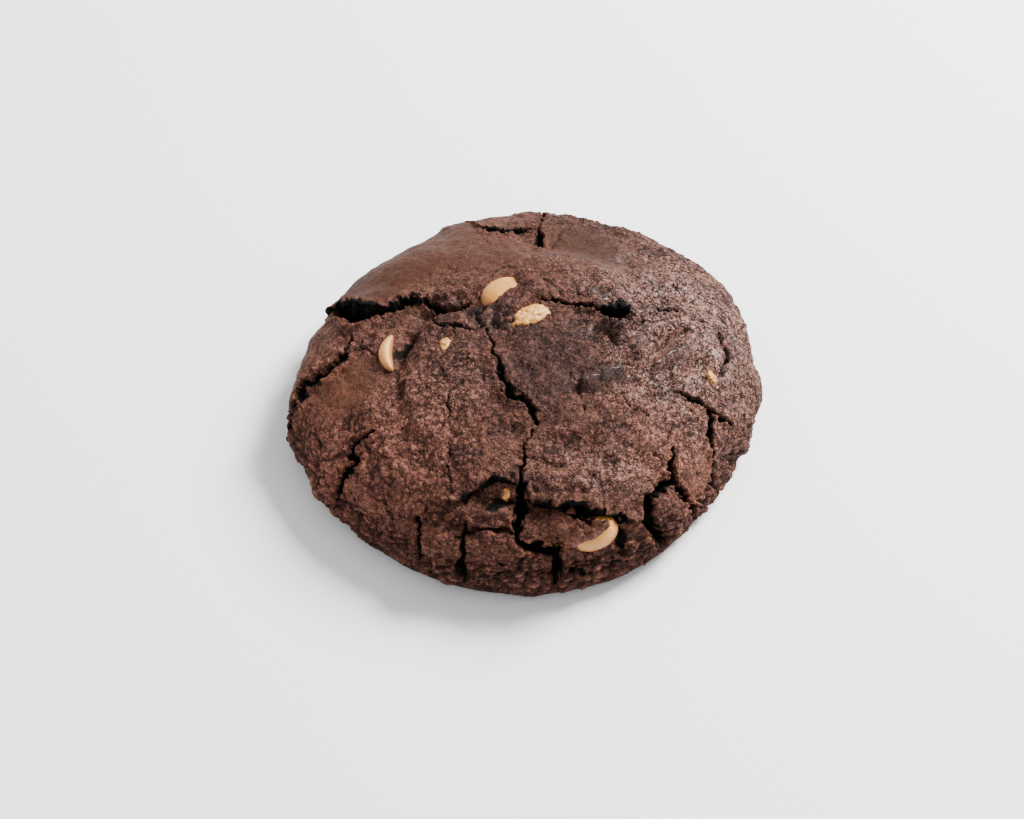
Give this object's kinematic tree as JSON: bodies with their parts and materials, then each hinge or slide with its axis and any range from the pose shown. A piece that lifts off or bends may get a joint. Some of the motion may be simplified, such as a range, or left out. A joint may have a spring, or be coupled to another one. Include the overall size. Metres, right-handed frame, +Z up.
{
  "type": "chocolate peanut cookie",
  "caption": "Thick round chocolate cookie with a cracked domed top, a flat base and roasted peanuts showing through the crust.",
  "frame": {"origin": "middle of the cookie's box at its flat base", "axes": "+Z up out of the domed top, -Y towards the front with the broad cracks, +X to the cookie's right"},
  "size_m": [0.1055, 0.104, 0.0325],
  "materials": {
    "baked_dough": "dark brown baked chocolate dough with a dry crackled crust, darker and moister inside its cracks",
    "roasted_peanut": "golden tan roasted peanut with a faint oily sheen"
  },
  "bodies": {
    "root": {"cookie": "baked_dough", "peanut_back_left": "roasted_peanut", "peanut_back_right": "roasted_peanut", "peanut_left": "roasted_peanut", "peanut_front": "roasted_peanut", "peanut_chip_centre": "roasted_peanut", "peanut_chip_front": "roasted_peanut", "peanut_chip_right": "roasted_peanut"}
  },
  "joints": []
}
